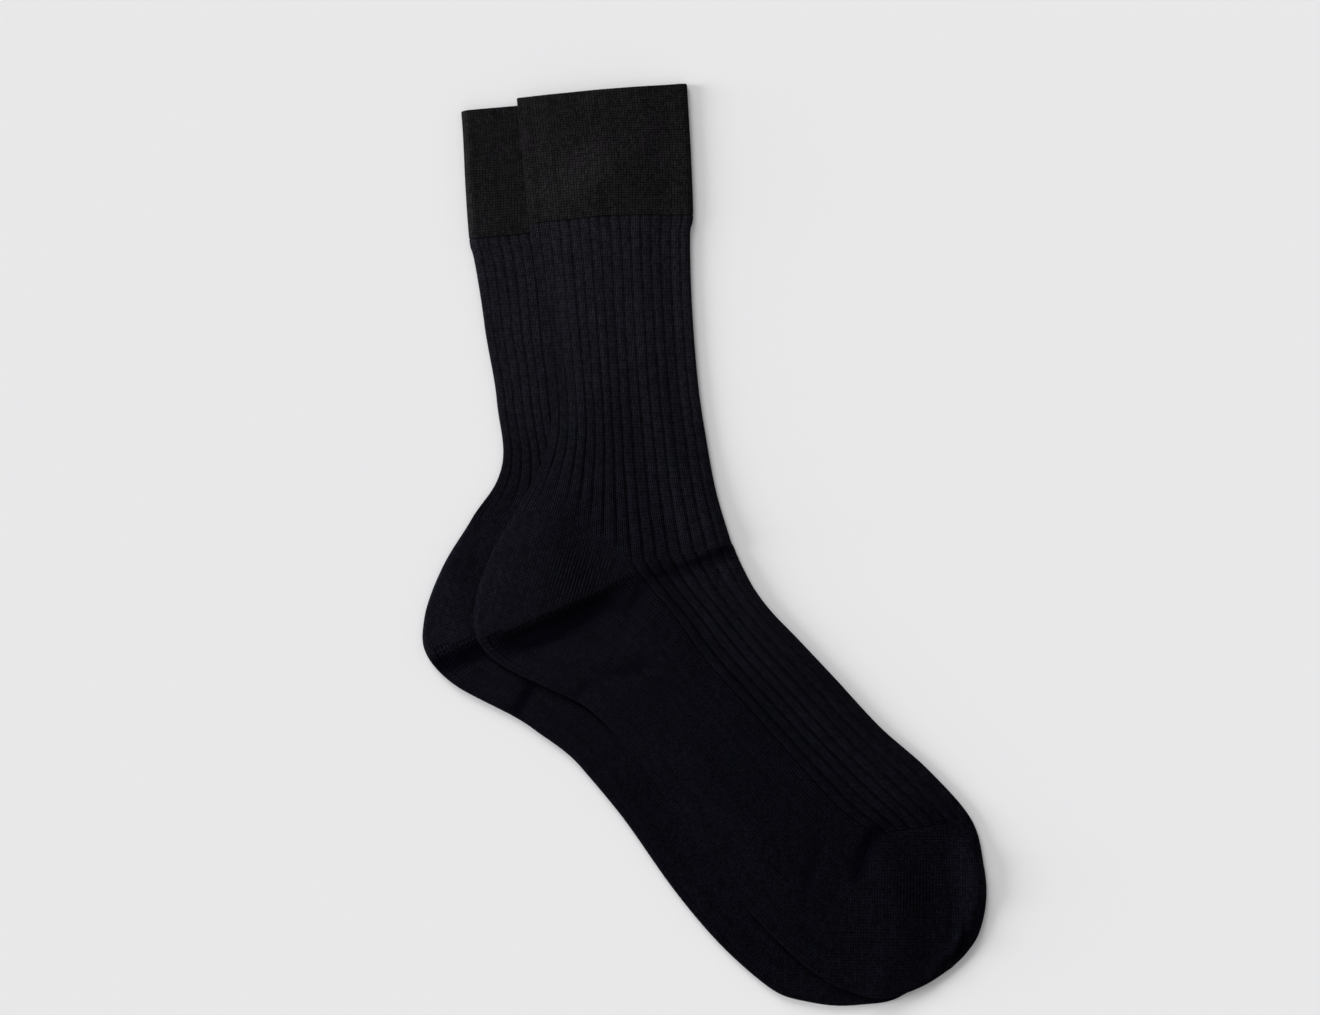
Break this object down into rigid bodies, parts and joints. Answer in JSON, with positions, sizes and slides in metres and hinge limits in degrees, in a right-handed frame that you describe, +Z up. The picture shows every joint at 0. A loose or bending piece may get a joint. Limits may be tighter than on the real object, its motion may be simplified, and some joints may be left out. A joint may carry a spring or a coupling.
{
  "type": "pair of socks",
  "caption": "Pair of ribbed navy dress socks with black turned cuffs, laid flat in profile with one lying slid over the other.",
  "frame": {"origin": "on the surface the socks lie on, below the middle of the pair", "axes": "+Z up out of the cloth, +Y towards the cuffs, +X towards the shins and toes, heels towards -X"},
  "size_m": [0.2422, 0.396, 0.0085],
  "materials": {
    "sock_knit": "fine matt rib knit",
    "cuff_welt": "fine matt plain knit"
  },
  "bodies": {
    "root": {"lower_sock_cuff": "cuff_welt", "lower_sock_leg_heel_foot": "sock_knit", "lower_sock_toe": "sock_knit", "upper_sock_cuff": "cuff_welt", "upper_sock_leg_heel_foot": "sock_knit", "upper_sock_toe": "sock_knit"}
  },
  "joints": []
}
